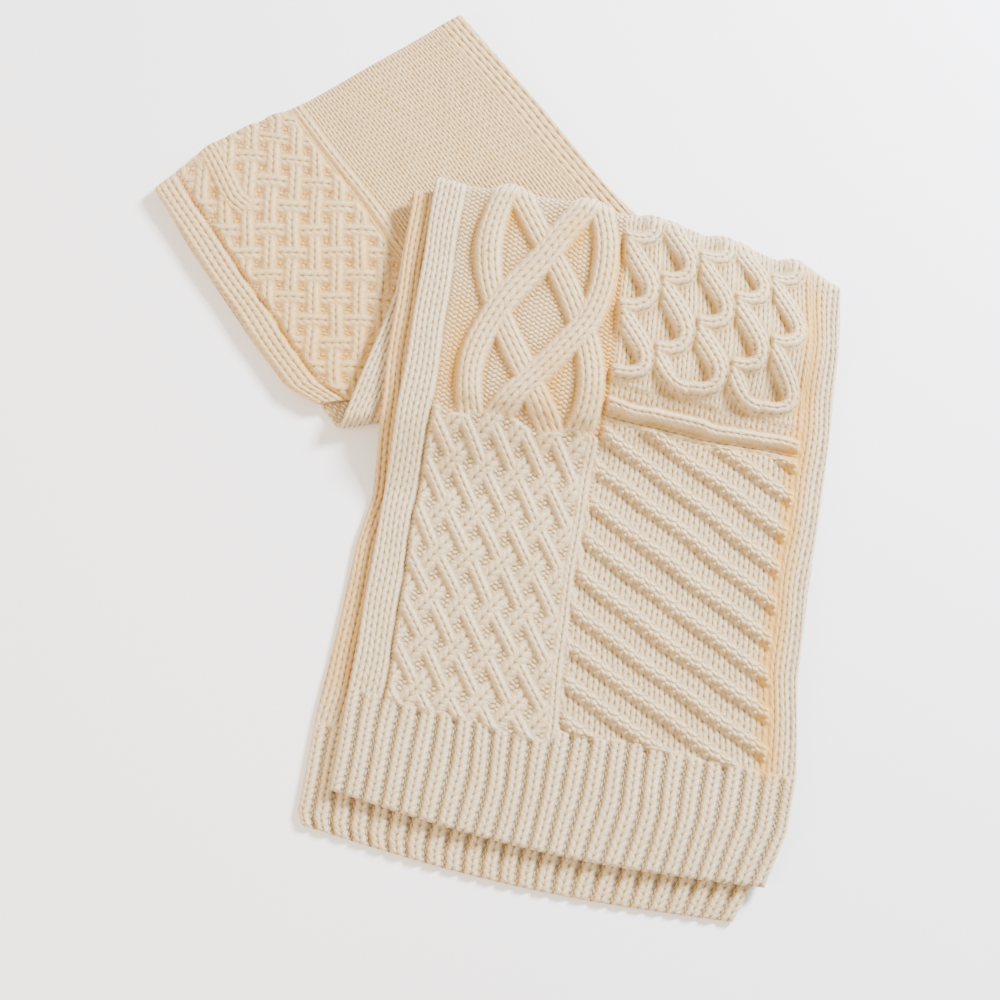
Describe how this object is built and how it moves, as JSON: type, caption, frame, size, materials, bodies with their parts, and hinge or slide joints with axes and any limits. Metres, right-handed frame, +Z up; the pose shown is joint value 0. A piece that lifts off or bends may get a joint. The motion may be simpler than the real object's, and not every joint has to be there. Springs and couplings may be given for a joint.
{
  "type": "knit scarf",
  "caption": "Thick cream knit scarf with patchwork cable, trellis and welt patterns and ribbed ends, doubled and laid flat in folded runs.",
  "frame": {"origin": "on the surface that the scarf lies on, under the middle of its bounding box", "axes": "+Z up from the surface, +Y away from the ribbed ends towards the scarf's middle fold, +X to the right of someone who faces along +Y"},
  "size_m": [0.4862, 0.647, 0.0314],
  "materials": {
    "wool_knit": "matt, soft and slightly hairy"
  },
  "bodies": {
    "root": {"front_stretch": "wool_knit", "under_stretch": "wool_knit", "turned_stretch": "wool_knit", "back_stretch": "wool_knit", "hidden_layers": "wool_knit"}
  },
  "joints": []
}
